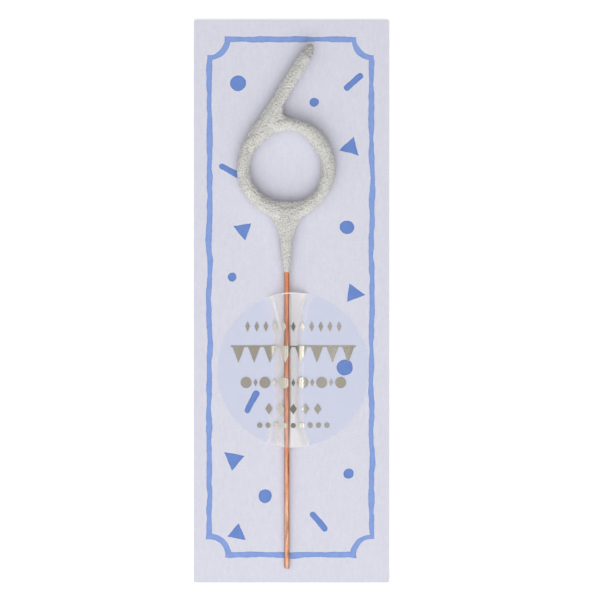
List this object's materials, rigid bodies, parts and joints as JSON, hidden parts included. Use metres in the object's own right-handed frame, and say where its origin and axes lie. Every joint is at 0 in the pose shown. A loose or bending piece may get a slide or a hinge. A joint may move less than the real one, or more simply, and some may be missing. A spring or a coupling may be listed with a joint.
{
  "type": "number sparkler on backing card",
  "caption": "Figure-six hand sparkler: grey spark coating over a bent copper-plated wire on a straight stem, lying on a printed card under a clear round label.",
  "frame": {"origin": "centre of the backing card's underside, on the surface that the card lies on", "axes": "+Y up the card, from the stem's cut end to the figure's tail; +Z out of the card's print; +X to the right of the print"},
  "size_m": [0.064, 0.1844, 0.0054],
  "materials": {
    "card": "uncoated pale blue printed card",
    "label_film": "clear gloss film",
    "copper_wire": "bright copper plating on drawn steel wire",
    "spark_coating": "matt, sandy, grey metal-powder composition"
  },
  "bodies": {
    "card": {"backing_card": "card", "clear_label": "label_film"},
    "sparkler": {"stem_wire": "copper_wire", "figure_wire": "copper_wire", "spark_coating": "spark_coating"}
  },
  "joints": [
    {"name": "sparkler_slide", "type": "slide", "parent": "card", "child": "sparkler", "axis": [0, 0.9999, 0.0123], "range_m": [-0.0065, 0.088]}
  ]
}
